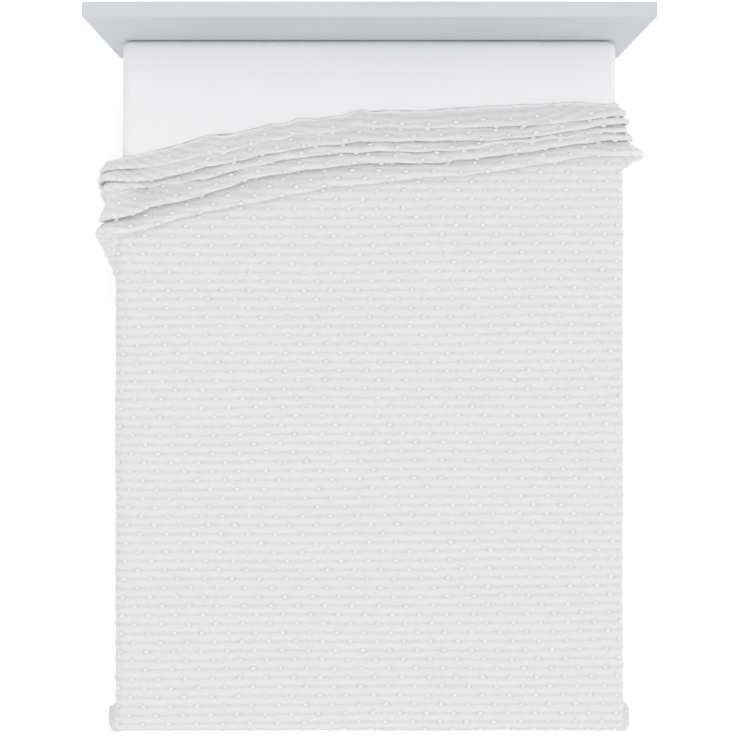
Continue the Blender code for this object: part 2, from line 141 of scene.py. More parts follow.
class Nodes:
    """A node tree that is built by calls."""

    def __init__(self, tree: bpy.types.NodeTree) -> None:
        """Wraps a tree."""
        self.tree = tree

    def add(
        self,
        kind: str,
        settings: dict[str, object] | None = None,
        sockets: dict[str | int, object] | None = None,
    ) -> Node:
        """Adds a node.

        Args:
            kind: the node's type.
            settings: its properties.
            sockets: the value of each input, or what is linked to it, by name or number.

        Returns:
            The new node.
        """
        node = self.tree.nodes.new(kind)
        for name, value in (settings or {}).items():
            setattr(node, name, value)
        self.feed(node, sockets or {})
        return node

    def feed(self, node: Node, sockets: dict[str | int, object]) -> None:
        """Gives a node's inputs their values and links.

        Args:
            node: the node.
            sockets: the value of each input, or what is linked to it, by name or number.
        """
        for key, value in sockets.items():
            source = value.socket if isinstance(value, Value) else value
            if isinstance(source, Socket):
                self.tree.links.new(source, node.inputs[key])
            else:
                node.inputs[key].default_value = source

    def object_place(self) -> Socket:
        """The place of each point on its own object."""
        return self.add("ShaderNodeTexCoord").outputs["Object"]

    def axes(self, vector: Socket) -> list[Value]:
        """The three numbers of a vector."""
        return [Value(self, socket) for socket in self.add("ShaderNodeSeparateXYZ", {}, {0: vector}).outputs]

    def mixed(self, first: object, second: object, share: Number) -> Socket:
        """Mixes two colours.

        Args:
            first: the colour where share is 0, as numbers or a socket.
            second: the colour where share is 1.
            share: how much of the second.

        Returns:
            The mixed colour's socket.
        """
        ends = {6: first, 7: second}
        given = {key: (*value, 1.0) if isinstance(value, tuple) else value for key, value in ends.items()}
        node = self.add("ShaderNodeMix", {"data_type": "RGBA"}, {0: share, **given})
        return node.outputs[2]

    def noise(self, place: Socket, scale: Point, detail: float = 2.0) -> Value:
        """Noise of 0 to 1 that is stretched along each axis.

        Args:
            place: the coordinates that it reads.
            scale: how many lumps it has in a metre, along each axis.
            detail: how many finer layers it has.

        Returns:
            The noise.
        """
        stretched = self.add("ShaderNodeVectorMath", {"operation": "MULTIPLY"}, {0: place, 1: scale})
        sockets = {"Vector": stretched.outputs[0], "Scale": 1.0, "Detail": detail}
        return Value(self, self.add("ShaderNodeTexNoise", {}, sockets).outputs[0])

    def bump(self, height: Value, distance: float, normal: Socket | None = None) -> Socket:
        """A normal that is tilted by a height.

        Args:
            height: 0 to 1.
            distance: the height of 1, in metres.
            normal: a normal that is tilted already.

        Returns:
            The new normal's socket.
        """
        sockets: dict[str | int, object] = {"Height": height, "Distance": distance, "Strength": 1.0}
        if normal is not None:
            sockets["Normal"] = normal
        return self.add("ShaderNodeBump", {}, sockets).outputs[0]


@dataclass(frozen=True)
class Finish:
    """The look of one kind of surface."""

    name: str
    colour: Colour
    roughness: float

    def build(self) -> Material:
        """Makes the material."""
        material = bpy.data.materials.new(self.name)
        material.use_nodes = True
        nodes = Nodes(material.node_tree)
        surface = material.node_tree.nodes["Principled BSDF"]
        nodes.feed(surface, {"Base Color": (*self.colour, 1.0), "Roughness": self.roughness})
        self.dress(nodes, surface)
        material.diffuse_color = (*self.colour, 1.0)
        return material

    def dress(self, nodes: Nodes, surface: Node) -> None:
        """Adds this finish's pattern to its shader.

        Args:
            nodes: the material's tree.
            surface: its Principled node.
        """


@dataclass(frozen=True)
class PlushFinish(Finish):
    """Short white pile: fine strokes of fibre across the ribs and soft mottling, with painted shade in the
    grooves, on the head side of each rib and round each tuft.
    """

    # the darker colour mixed in: painted shade in the grooves, on the head side of each rib and round each
    # tuft, and the pile's strokes and mottling
    groove: Colour = (0.74, 0.74, 0.74)
    rib_pitch: float = RIB_PITCH
    tuft_pitch: float = TUFT_PITCH
    tuft_slant: float = TUFT_SLANT
    tuft_reach: tuple[float, float] = (0.0105, 0.0090)
    tuft_edge: tuple[float, float] = (0.75, 1.30)
    stroke: Point = (0.0032, 0.0120, 0.0032)
    stroke_height: float = 0.0024
    fibre_height: float = 0.0004
    ring_height: float = 0.0008
    # painted shade in the grooves on the cloth, and random speckle on the tufts
    painted_groove_shade_and_speckle: float = 0.44
    # painted shade on the head side of each rib, as if lit from the foot
    painted_rib_side_shade: float = 0.16
    # painted shade in a ring round each tuft
    painted_tuft_ring_shade: float = 0.13
    stroke_shade: float = 0.32
    mottle_shade: float = 0.16
    space: PatternSpace = PatternSpace.CLOTH

    def dress(self, nodes: Nodes, surface: Node) -> None:
        """Adds the pile, painted shade in the grooves and on the head side of each rib, and a pressed ring
        round each tuft: a dimple in the bump, with painted shade in the colour.
        """
        if self.space is PatternSpace.CLOTH:
            place = nodes.add("ShaderNodeUVMap", {"uv_map": "cloth"}).outputs[0]
            across, along, _ = nodes.axes(place)
            # painted shade in the grooves: 1 in each groove and 0 on the rib tops
            hollow = 1 - abs((along * (math.pi / self.rib_pitch)).sine()).ramp(0.12, 0.85)
            ring = self.ring(across, along)
            # painted shade: each rib grows darker towards its head side, as if lit from the foot
            painted_rib_side_mask = (along / self.rib_pitch).fraction().ramp(0.35, 0.95)
        else:
            place = nodes.object_place()
            # on the tufts: random speckle only, with no painted shade
            hollow = nodes.noise(place, (420.0, 420.0, 420.0)).ramp(0.5, 0.8)
            ring = painted_rib_side_mask = hollow * 0.0
        strokes = nodes.noise(place, tuple(1 / size for size in self.stroke), 3.0)
        fibres = nodes.noise(place, (2600.0, 1800.0, 2600.0), 1.0)
        mottle = nodes.noise(place, (38.0, 52.0, 38.0), 3.0)
        # painted shade in the grooves, on the head side of each rib and round each tuft, plus the pile's
        # strokes and mottling
        shade = hollow * self.painted_groove_shade_and_speckle + painted_rib_side_mask * self.painted_rib_side_shade + ring * self.painted_tuft_ring_shade
        shade = shade + (1 - strokes.ramp(0.34, 0.66)) * self.stroke_shade
        shade = shade + (mottle.ramp(0.3, 0.7) - 0.5) * self.mottle_shade
        colour = nodes.mixed(self.colour, self.groove, shade.at_least(0.0).at_most(1.0))
        # the ring's dimple is a real bump; its darker colour above is painted shade
        normal = nodes.bump(1 - ring, self.ring_height)
        normal = nodes.bump(strokes, self.stroke_height, normal)
        normal = nodes.bump(fibres, self.fibre_height, normal)
        nodes.feed(surface, {"Base Color": colour, "Roughness": 0.88 + 0.10 * fibres, "Normal": normal})
        nodes.feed(surface, {"Sheen Weight": 0.20, "Sheen Roughness": 0.45})

    def ring(self, across: Value, along: Value) -> Value:
        """How near a place on the cloth is to a tuft: 1 under it, and 0 well away from it.

        Args:
            across: distance from the middle line.
            along: distance from the foot hem.

        Returns:
            The nearness.
        """
        groove = (along / self.rib_pitch).nearest_whole()
        off_groove = along - groove * self.rib_pitch
        slant = groove * (self.rib_pitch * self.tuft_slant)
        step = (across - groove.remainder(2.0) * (self.tuft_pitch / 2) - slant) / self.tuft_pitch
        off_tuft = (step - step.nearest_whole()) * self.tuft_pitch
        reach = ((off_tuft / self.tuft_reach[0]) ** 2.0 + (off_groove / self.tuft_reach[1]) ** 2.0) ** 0.5
        return 1 - reach.ramp(*self.tuft_edge)


@dataclass(frozen=True)
class CottonFinish(Finish):
    """Plain woven cotton: crossed threads and broad, faint slack in the cover."""

    thread: float = 0.0011
    shade: Colour = (0.87, 0.87, 0.88)

    def dress(self, nodes: Nodes, surface: Node) -> None:
        """Adds the weave and the slack."""
        place = nodes.object_place()
        x, y, z = nodes.axes(place)
        turn = FULL_TURN / self.thread
        weave = ((x + z) * turn).sine() * ((y - z) * turn).sine() * 0.5 + 0.5
        slub = nodes.noise(place, (30.0, 900.0, 30.0), 2.0)
        slack = nodes.noise(place, (2.2, 3.4, 2.2), 3.0)
        colour = nodes.mixed(self.colour, self.shade, slub * 0.35 + slack.ramp(0.35, 0.7) * 0.35)
        normal = nodes.bump(slack, 0.0060)
        normal = nodes.bump(weave * 0.7 + slub * 0.3, 0.00025, normal)
        nodes.feed(surface, {"Base Color": colour, "Roughness": 0.84 + 0.10 * slub, "Normal": normal})
        nodes.feed(surface, {"Sheen Weight": 0.10})


@dataclass(frozen=True)
class PaintedBoardFinish(Finish):
    """Matt paint on a board: fine roller texture, broad unevenness and edges that are rubbed pale."""

    rubbed: Colour = (0.78, 0.79, 0.81)
    low: Point = (0.0, 0.0, 0.0)
    high: Point = (1.0, 1.0, 1.0)
    wear_width: float = 0.0030

    def dress(self, nodes: Nodes, surface: Node) -> None:
        """Adds the roller texture and the wear."""
        place = nodes.object_place()
        roller = nodes.noise(place, (420.0, 420.0, 420.0), 3.0)
        cloud = nodes.noise(place, (2.6, 9.0, 2.6), 3.0)
        near = []
        for value, low, high in zip(nodes.axes(place), self.low, self.high):
            near.append(1 - (value - low).at_most(high - value).ramp(0.0, self.wear_width))
        on_edge = (near[0] + near[1] + near[2] - 1.0).ramp(0.2, 0.9)
        wear = on_edge * nodes.noise(place, (70.0, 70.0, 70.0), 4.0).ramp(0.40, 0.65)
        deep = tuple(0.90 * channel for channel in self.colour)
        base = nodes.mixed(self.colour, deep, cloud.ramp(0.3, 0.7) * 0.5 + roller * 0.15)
        colour = nodes.mixed(base, self.rubbed, wear * 0.7)
        normal = nodes.bump(roller, 0.00018)
        rough = self.roughness + 0.14 * roller
        nodes.feed(surface, {"Base Color": colour, "Roughness": rough, "Normal": normal})


@dataclass(frozen=True)
class StainedWoodFinish(Finish):
    """Dark stained wood: long grain up the leg with open pores and a few darker rings."""

    pale: Colour = (0.20, 0.13, 0.085)

    def dress(self, nodes: Nodes, surface: Node) -> None:
        """Adds the grain."""
        place = nodes.object_place()
        grain = nodes.noise(place, (210.0, 210.0, 9.0), 4.0)
        pores = nodes.noise(place, (900.0, 900.0, 40.0), 2.0).ramp(0.52, 0.70)
        rings = abs((nodes.noise(place, (14.0, 14.0, 1.6), 2.0) * 42.0).sine())
        colour = nodes.mixed(self.colour, self.pale, grain.ramp(0.35, 0.70) * 0.7 + rings * 0.3)
        colour = nodes.mixed(colour, tuple(0.5 * channel for channel in self.colour), pores * 0.6)
        normal = nodes.bump(grain - pores * 0.5, 0.0003)
        rough = self.roughness + 0.20 * pores
        nodes.feed(surface, {"Base Color": colour, "Roughness": rough, "Normal": normal})


@dataclass(frozen=True)
class FloorFinish(Finish):
    """A plain pale floor, lit a little from within so that it stays white under the bed's soft shadow."""

    glow: float = 0.0

    def dress(self, nodes: Nodes, surface: Node) -> None:
        """Adds the glow."""
        nodes.feed(surface, {"Emission Color": (1.0, 1.0, 1.0, 1.0), "Emission Strength": self.glow})


# across, then where the toe, the five creases and the head hem cross the bed (Y)
CREASES = np.array((
    (-1.00, 0.245, 0.410, 0.450, 0.530, 0.558, 0.586, 0.616),
    (-0.80, 0.285, 0.412, 0.447, 0.532, 0.554, 0.585, 0.616),
    (-0.70, 0.388, 0.408, 0.450, 0.536, 0.552, 0.586, 0.618),
    (-0.60, 0.434, 0.430, 0.479, 0.537, 0.557, 0.592, 0.632),
    (-0.45, 0.478, 0.472, 0.517, 0.559, 0.590, 0.618, 0.666),
    (-0.30, 0.506, 0.499, 0.565, 0.597, 0.621, 0.650, 0.703),
    (-0.15, 0.540, 0.532, 0.586, 0.622, 0.647, 0.678, 0.721),
    (0.00, 0.557, 0.549, 0.603, 0.633, 0.660, 0.692, 0.734),
    (0.15, 0.578, 0.565, 0.602, 0.634, 0.664, 0.697, 0.748),
    (0.30, 0.590, 0.576, 0.616, 0.640, 0.664, 0.701, 0.757),
    (0.45, 0.614, 0.598, 0.636, 0.656, 0.674, 0.705, 0.768),
    (0.60, 0.637, 0.622, 0.658, 0.678, 0.698, 0.722, 0.764),
    (0.70, 0.634, 0.624, 0.668, 0.689, 0.712, 0.736, 0.774),
    (0.80, 0.602, 0.632, 0.680, 0.698, 0.722, 0.746, 0.780),
    (1.00, 0.598, 0.644, 0.694, 0.716, 0.742, 0.766, 0.800),
))
# across, then how high the five folds stand before they swell
CRESTS = np.array((
    (-1.00, 0.060, 0.042, 0.048, 0.054, 0.052),
    (-0.80, 0.048, 0.032, 0.036, 0.042, 0.038),
    (-0.70, 0.041, 0.034, 0.024, 0.036, 0.020),
    (-0.60, 0.028, 0.036, 0.013, 0.030, 0.017),
    (-0.45, 0.026, 0.034, 0.025, 0.029, 0.018),
    (-0.30, 0.028, 0.032, 0.028, 0.028, 0.016),
    (-0.15, 0.028, 0.029, 0.028, 0.028, 0.015),
    (0.00, 0.029, 0.028, 0.028, 0.030, 0.015),
    (0.15, 0.029, 0.028, 0.026, 0.030, 0.018),
    (0.30, 0.028, 0.029, 0.022, 0.029, 0.022),
    (0.45, 0.028, 0.028, 0.020, 0.028, 0.024),
    (0.60, 0.030, 0.024, 0.020, 0.025, 0.020),
    (0.70, 0.043, 0.025, 0.017, 0.020, 0.016),
    (0.80, 0.048, 0.031, 0.016, 0.016, 0.014),
    (1.00, 0.042, 0.032, 0.023, 0.026, 0.022),
))


def unit(vectors: Array) -> Array:
    """Vectors made 1 long, and left alone where they have no length."""
    return vectors / np.maximum(np.linalg.norm(vectors, axis=-1, keepdims=True), 1e-12)


def wave(turns: Array, phase: float) -> Array:
    """A sine wave, for numbers of turns and a phase in radians."""
    return np.sin(FULL_TURN * turns + phase)


def mirrored(columns: Sequence[float]) -> Array:
    """Distances from the middle, repeated on the other side of it."""
    return np.array([-place for place in reversed(columns[1:])] + list(columns))


@dataclass
class Folds:
    """The bunched end of the throw. Distances are in metres. The folds lean towards the foot."""

    lean_on_top: float = 1.35
    lean_on_sides: float = 0.60
    lean_change: tuple[float, float] = (0.54, 0.72)
    crest_width: float = 0.013
    crest_share: float = 0.35
    crease_width: float = 0.011
    crease_share: float = 0.40
    nose: float = 0.006
    least_crest_step: float = 0.014
    least_crest_width: float = 0.007
    landing_run: float = 0.004
    hem_rest: float = 0.008
    wall_round: float = 0.007
    crease_place: float = 0.58
    crease_room: float = 0.009
    crease_steepness: float = 2.3
    swell: float = 1.35
    floors: tuple[float, ...] = (0.0, 0.10, 0.28, 0.16, 0.42)
    packed_side: tuple[float, ...] = (-1.00, -0.74, -0.66)
    packed_fill: tuple[float, ...] = (0.92, 0.75, 0.0)
    pressed_side: tuple[float, ...] = (0.67, 0.73)
    pressed_in: float = 0.009
    span_samples: int = 10
    wobble: float = 0.0022
    wobble_height: float = 0.0020
    wobble_lengths: tuple[float, ...] = (0.231, 0.137, 0.083)
    calm_share: float = 0.15
    creases: Array = field(default_factory=lambda: CREASES)
    crests: Array = field(default_factory=lambda: CRESTS)

    @staticmethod
    def column(table: Array, number: int, across: float) -> float:
        """One column of a table at a distance across, on a smooth curve through its rows.

        Args:
            table: rows of values, the first of each being its distance across.
            number: which column.
            across: where to read it.

        Returns:
            The value there.
        """
        places, values = table[:, 0], table[:, number]
        slopes = np.gradient(values, places)
        row = int(np.clip(np.searchsorted(places, across) - 1, 0, len(places) - 2))
        step = places[row + 1] - places[row]
        t = (across - places[row]) / step
        start = (1 + 2 * t) * (1 - t) ** 2 * values[row] + t * (1 - t) ** 2 * step * slopes[row]
        end = t * t * (3 - 2 * t) * values[row + 1] - t * t * (1 - t) * step * slopes[row + 1]
        return float(start + end)

    def waver(self, line: Line, across: float, ahead: int = 0) -> float:
        """How much a line wavers: from about -1 to 1, and less for the toe, the back fold and the hem.

        Args:
            line: which line.
            across: where to read it.
            ahead: moves the waves on, so that a line's height wavers apart from its place.

        Returns:
            The waver.
        """
        number = line.value + ahead
        phases = (1.7 * number, 2.9 * number + 0.6, 4.3 * number + 1.9)
        pairs = zip(self.wobble_lengths, phases)
        waves = (math.sin(FULL_TURN * across / size + phase) for size, phase in pairs)
        share = self.calm_share if line in (Line.TOE, Line.BACK, Line.HEM) else 1.0
        return share * sum(waves) / 2

    def line(self, line: Line, across: float) -> float:
        """Where a line crosses the bed (Y)."""
        return self.column(self.creases, line.value, across) + self.wobble * self.waver(line, across)

    def lean(self, across: float) -> float:
        """How far a point moves towards the foot for each metre of its height, at a distance across."""
        start, end = self.lean_change
        share = min(max((abs(across) - start) / (end - start), 0.0), 1.0)
        return self.lean_on_top + (self.lean_on_sides - self.lean_on_top) * share * share * (3 - 2 * share)

    def wall(self, near: Point, far: Point) -> list[tuple[float, float]]:
        """Two points on the line between two bends, near enough to each to round it closely."""
        first, last = np.array(near), np.array(far)
        share = min(self.wall_round / float(np.linalg.norm(last - first)), 1 / 3)
        return [tuple(first + share * (last - first)), tuple(last - share * (last - first))]

    def outline(self, across: float) -> Array:
        """The corners of one section from the toe to the head hem, as (Y, height) pairs without the lean."""
        toe, hem = self.line(Line.TOE, across), self.line(Line.HEM, across)
        packed = float(np.interp(across, self.packed_side, self.packed_fill))
        pressed = self.pressed_in * float(np.interp(across, self.pressed_side, (0.0, 1.0)))
        bends = [((toe - self.crease_width, 0.0), (toe, 0.0))]
        place, height, base, half, lean = toe, 0.0, 0.0, 0.0, self.lean(across)
        for number, line in enumerate((Line.FRONT, Line.SECOND, Line.THIRD, Line.FOURTH, Line.BACK)):
            full = self.column(self.crests, number + 1, across)
            crest = self.swell * (full + self.wobble_height * self.waver(line, across, ahead=7)) + base
            top = max(self.line(line, across) + self.nose + lean * crest, place + self.least_crest_step)
            step = top - place
            if line is not Line.FRONT:
                least = min(height, crest)
                deepest = least - self.crease_steepness * max(step - self.crease_room, 0.0)
                floor = max(base + max(self.floors[number], packed) * (least - base), deepest)
                middle = place + self.crease_place * step
                half = min(self.crease_width, self.crease_share * step) / 2
                bends.append(((middle - half, floor), (middle + half, floor)))
            half = float(np.clip(self.crest_share * step, self.least_crest_width, self.crest_width)) / 2
            bends.append(((top - half, crest), (top + half, crest)))
            place, height, base = top, crest, -pressed
        floor = base + packed * (height - base)
        left = place + half + self.landing_run
        end = max(hem + lean * floor, left + self.hem_rest)
        landing = max(end - self.crest_width, left)
        bends.append(((landing, floor), ((landing + end) / 2, floor)))
        corners = [(toe - 2 * self.crest_width, 0.0)]
        for near, far in zip(bends, bends[1:]):
            corners += [*near, *self.wall(near[1], far[0])]
        return np.array([*corners, *bends[-1], (end, floor)])

    def spline(self, corners: Array) -> Array:
        """A smooth curve that rounds off a line of corners, from its first corner to its last."""
        first, last = 2 * corners[0] - corners[1], 2 * corners[-1] - corners[-2]
        points = np.vstack((first, corners, last))
        spans = len(points) - 3
        t = np.linspace(0, spans, spans * self.span_samples + 1)
        span = np.minimum(t.astype(int), spans - 1)
        t = (t - span)[:, None]
        return (
            (1 - t) ** 3 * points[span]
            + (3 * t**3 - 6 * t**2 + 4) * points[span + 1]
            + (-3 * t**3 + 3 * t**2 + 3 * t + 1) * points[span + 2]
            + t**3 * points[span + 3]
        ) / 6

    def section(self, across: float) -> tuple[Array, Array]:
        """One section through the folds.

        Args:
            across: where it is.

        Returns:
            Its curve, as (Y, height) pairs, and how far along the curve each point is.
        """
        curve = self.spline(self.outline(across))
        curve[:, 0] -= self.lean(across) * curve[:, 1]
        steps = np.linalg.norm(np.diff(curve, axis=0), axis=1)
        return curve, np.concatenate(([0.0], np.cumsum(steps)))


@dataclass
class Drape:
    """How the cloth lies on the mattress: flat on top, over its sides and foot, with loose corners."""

    half_width: float
    half_length: float
    top: float
    clearance: float = 0.0165
    touch_gap: float = 0.0003
    thickness: float = 0.002
    foot_drop: float = 0.10
    side_drop: float = 0.315
    softness: float = 0.045
    sleeve_half_angle: float = math.radians(8.5)
    sleeve_softness: float = math.radians(34)
    sway: float = 0.007
    sway_lengths: tuple[float, float] = (0.41, 0.27)
    hem_flare: float = 0.010
    taps: int = 7
    sleeve_taps: int = 13
    turn_range: tuple[float, float, int] = (-120.0, 210.0, 1321)
    turns: Array = field(init=False)
    ways: Array = field(init=False)

    def __post_init__(self) -> None:
        """Works out the way that the cloth takes round a foot corner."""
        self.turns, self.ways = self.corner_ways()

    @property
    def foot(self) -> float:
        """Where the cloth turns down at the foot (Y)."""
        return -self.half_length - self.clearance - self.thickness / 2

    def corner_ways(self) -> tuple[Array, Array]:
        """Directions in which the cloth leaves a foot corner, for angles of the flat cloth round it.

        Returns:
            The angles, and a direction for each: outwards, towards the head, and up.
        """
        turns = np.radians(np.linspace(*self.turn_range))
        round_cone = np.clip(turns / (math.pi / 2), 0.0, 1.0) * FULL_TURN
        out = self.sleeve_half_angle * (1 - np.cos(round_cone))
        aside = self.sleeve_half_angle * np.sin(round_cone)
        x, y = (out + aside) / math.sqrt(2), (aside - out) / math.sqrt(2)
        tilt = np.maximum(np.hypot(x, y), 1e-9)
        x, y, z = x / tilt * np.sin(tilt), y / tilt * np.sin(tilt), -np.cos(tilt)
        side, foot = turns < 0, turns > math.pi / 2
        y = np.where(side, -np.sin(turns), y)
        x = np.where(foot, np.cos(turns), x)
        z = np.where(side, -np.cos(turns), np.where(foot, -np.sin(turns), z))
        sharp = np.stack((x, y, z), axis=1)
        soft = np.zeros_like(sharp)
        for tap in np.linspace(-1, 1, self.sleeve_taps + 2)[1:-1]:
            turned = turns + tap * self.sleeve_softness
            near = [np.interp(turned, turns, sharp[:, axis]) for axis in range(3)]
            soft += (1 - abs(tap)) * np.stack(near, axis=1)
        return turns, unit(soft)

    def sharp(self, across: Array, run: Array) -> Array:
        """Cloth laid over a bed with sharp edges.

        Args:
            across: distances from the middle line.
            run: distances from the foot hem, over the bed.

        Returns:
            Its points.
        """
        half = self.half_width + self.clearance + self.thickness / 2
        sign = np.where(across < 0, -1.0, 1.0)
        over_side, over_foot = np.abs(across) - half, self.foot_drop - run
        reach, turn = np.hypot(over_side, over_foot), np.arctan2(over_foot, over_side)
        hanging = (over_side > 0) | (over_foot > 0)
        way = [reach * np.interp(turn, self.turns, self.ways[:, axis]) for axis in range(3)]
        x = np.where(hanging, half + way[0], np.abs(across))
        y = np.where(hanging, way[1], -over_foot)
        z = np.where(hanging, way[2], 0.0)
        top = self.top + self.touch_gap + self.thickness / 2
        return np.stack((sign * x, self.foot + y, top + z), axis=-1)

    def lay(self, across: Array, run: Array) -> Array:
        """The same cloth with rounded edges, each point averaged with those round it."""
        taps = np.linspace(-1, 1, self.taps + 2)[1:-1]
        weights = (1 - np.abs(taps)) / np.sum(1 - np.abs(taps))
        total = np.zeros((*across.shape, 3))
        for side_tap, side_weight in zip(taps, weights):
            for run_tap, run_weight in zip(taps, weights):
                shifted = self.sharp(across + self.softness * side_tap, run + self.softness * run_tap)
                total += side_weight * run_weight * shifted
        return total

    def swing(self, across: Array, run: Array, depth: Array) -> Array:
        """How far the hanging cloth swings out from straight, more the lower it hangs."""
        low = np.clip(depth / self.side_drop, 0.0, 1.0)
        side = np.where(across < 0, 1.3, 0.0)
        waves = wave(run / self.sway_lengths[0], side)
        waves = waves + 0.6 * wave(run / self.sway_lengths[1], 2.1 * side + 1.0)
        return low**1.5 * (self.hem_flare + self.sway * waves)

    def raised(self, across: Array, run: Array, rise: Array) -> Array:
        """Points of the cloth's middle surface, lifted off the bed where its folds rise.

        Args:
            across: distances from the middle line.
            run: distances from the foot hem, over the bed.
            rise: how far each stands off.

        Returns:
            Its points.
        """
        nudge = 0.002
        lying = self.lay(across, run)
        out = unit(np.cross(self.lay(across + nudge, run) - lying, self.lay(across, run + nudge) - lying))
        depth = np.clip(self.top - lying[..., 2], 0.0, None)
        return lying + out * (rise + self.swing(across, run, depth))[..., None]


@dataclass
class ClothGrid:
    """The cloth's middle surface on columns that run from foot to head and rows that cross them."""

    columns: Array
    across: Array
    along: Array
    points: Array
    normals: Array
    hollow: Array
    used: Array
    flat_rows: int

    def end(self, across: Array) -> Array:
        """How far along the head hem is, at distances across."""
        return np.interp(across, self.columns, self.along[:, -1])

    def on_cloth(self, grid: Array, places: Array) -> Array:
        """Reads values of the grid at places on the flat cloth.

        Args:
            grid: one or more values for each column and row.
            places: (across, along) pairs.

        Returns:
            The values at each place.
        """
        last = len(self.columns) - 1.001
        column = np.clip(np.interp(places[:, 0], self.columns, np.arange(len(self.columns))), 0, last)
        near = column.astype(int)
        share = (column - near)[:, None]
        flat = grid.reshape(*grid.shape[:2], -1)
        read = np.zeros((len(places), flat.shape[2]))
        for number in np.unique(near):
            chosen = near == number
            for side, weight in ((number, 1 - share[chosen]), (number + 1, share[chosen])):
                for channel in range(flat.shape[2]):
                    found = np.interp(places[chosen, 1], self.along[side], flat[side, :, channel])
                    read[chosen, channel] += weight[:, 0] * found
        return read


@dataclass
class Throw:
    """The ribbed throw: its sheet, the tufts in its grooves and the stitches along its hems."""

    drape: Drape
    folds: Folds = field(default_factory=Folds)
    width: float = 2.00
    length: float = 2.20
    rib_pitch: float = RIB_PITCH
    rib_relief: float = 0.0022
    rib_roundness: float = 0.6
    folded_share: float = 0.70
    folded_after: float = 0.040
    rib_steps: tuple[float, ...] = (0.0, 0.10, 0.28, 0.50, 0.72, 0.90)
    fold_step: int = 2
    hem_width: float = 0.014
    hem_relief: float = 0.0016
    hem_row: float = 0.75
    hem_clear: float = 0.002
    flattening_bend: float = 60.0
    least_pressed: float = 0.10
    rim: float = 0.0035
    seam: float = 0.0015
    seam_height: float = 0.35
    loft: float = 0.0010
    wander: float = 0.0016
    rib_rise: float = 0.006
    calm_width: Point = (0.10, 0.12, 0.05)
    merged_within: float = 0.0008
    evened: float = 0.06
    middle_columns: int = 24
    edge_columns: int = 22
    side_columns: int = 14
    edge_start: float = 0.60
    edge_end: float = 0.80
    inner_every: int = 3
    tuft_pitch: float = TUFT_PITCH
    tuft_slant: float = TUFT_SLANT
    tuft_size: Point = (0.0165, 0.0130, 0.0080)
    tuft_lift: float = 0.0019
    tuft_jitter: float = 0.0010
    jitter_along: float = 0.4
    tuft_margin: float = 0.010
    tufts_aside: int = 18
    tuft_seed: int = 11
    most_hollow: float = 70.0
    stitch_pitch: float = 0.0080
    stitch_size: Point = (0.0056, 0.0014, 0.0012)
    stitch_lift: float = 0.0018

    def column_places(self) -> Array:
        """Distances across of the sheet's columns, closest where it bends over the mattress's edges."""
        half = self.width / 2
        middle = np.linspace(0.0, self.edge_start, self.middle_columns, endpoint=False)
        edge = np.linspace(self.edge_start, self.edge_end, self.edge_columns, endpoint=False)
        side = np.linspace(self.edge_end, half - self.hem_width - self.hem_clear, self.side_columns)
        hem = (half - self.hem_width, half - self.hem_row * self.hem_width, half - self.rim, half)
        return mirrored([*middle, *edge, *side, *hem])

    def row_places(self, last: float) -> Array:
        """Distances along of the sheet's flat rows, several to each rib, up to the last fold's start."""
        ribs = range(int(last / self.rib_pitch) + 1)
        rows = [self.rib_pitch * (rib + step) for rib in ribs for step in self.rib_steps]
        hem = (self.rim, self.hem_row * self.hem_width, self.hem_width)
        return np.array(sorted({round(place, 6) for place in (*rows, *hem)}))

    def wandering(self, across: Array, along: Array) -> Array:
        """How far the ribs stray from straight."""
        slow = wave(0.9 * across + 1.3 * along, 0.4)
        quick = wave(2.3 * across - 1.7 * along, 2.2)
        return self.wander * (slow + 0.5 * quick) + self.rib_rise * across

    def lofting(self, across: Array, along: Array) -> Array:
        """How far the cloth stands off the mattress in soft, low lumps."""
        broad = wave(1.6 * across + 0.3 * along, 0.0) * wave(1.9 * along - 0.5 * across, 0.8)
        small = wave(3.7 * across - 1.1 * along, 1.9) * wave(4.3 * along, 0.3)
        return self.loft * (1.5 + broad + 0.5 * small)

    def grid(self, columns: Array, rows_wanted: slice = slice(None)) -> ClothGrid:
        """Lays the sheet out on columns and rows.

        Args:
            columns: distances across.
            rows_wanted: which of the flat rows to keep.

        Returns:
            The grid. Rows past the start of the folds fall on it until the folds' own rows begin.
        """
        turned_down = self.drape.foot_drop - self.drape.foot
        curves, lengths = map(np.array, zip(*(self.folds.section(float(place)) for place in columns)))
        starts = curves[:, :1, 0] + turned_down
        near = np.exp(-(((columns[:, None] - columns) / self.evened) ** 2) / 2)
        reached = starts + near @ lengths / near.sum(axis=1, keepdims=True)
        flat = self.row_places(float(starts.max()))[rows_wanted]
        count, bent = len(flat), slice(None, None, self.fold_step)
        along = np.hstack((np.minimum(flat, starts), reached[:, bent]))
        run = np.hstack((along[:, :count], curves[:, bent, 0] + turned_down))
        rise = np.hstack((np.zeros((len(columns), count)), curves[:, bent, 1]))
        across = np.repeat(columns[:, None], along.shape[1], axis=1)
        insets = (along, starts - along, self.width / 2 - np.abs(across))
        shares = [np.clip(inset / width, 0, 1) for inset, width in zip(insets, self.calm_width)]
        calm = np.prod(shares, axis=0)
        run = run + calm * self.wandering(across, along)
        rise = rise + calm * self.lofting(across, along)
        points = self.drape.raised(across, run, rise)
        side, head = np.gradient(points, axis=0), np.gradient(points, axis=1)
        normals = unit(np.cross(side, head))
        steps = np.maximum(np.linalg.norm(head, axis=-1), 1e-6)
        bend = np.gradient(unit(head), axis=1) / steps[..., None]
        hollow = np.sum(bend * normals, axis=-1)
        used = np.ones_like(along, dtype=bool)
        used[:, :count] = flat < starts - self.merged_within
        return ClothGrid(columns, across, along, points, normals, np.where(used, hollow, 0.0), used, count)

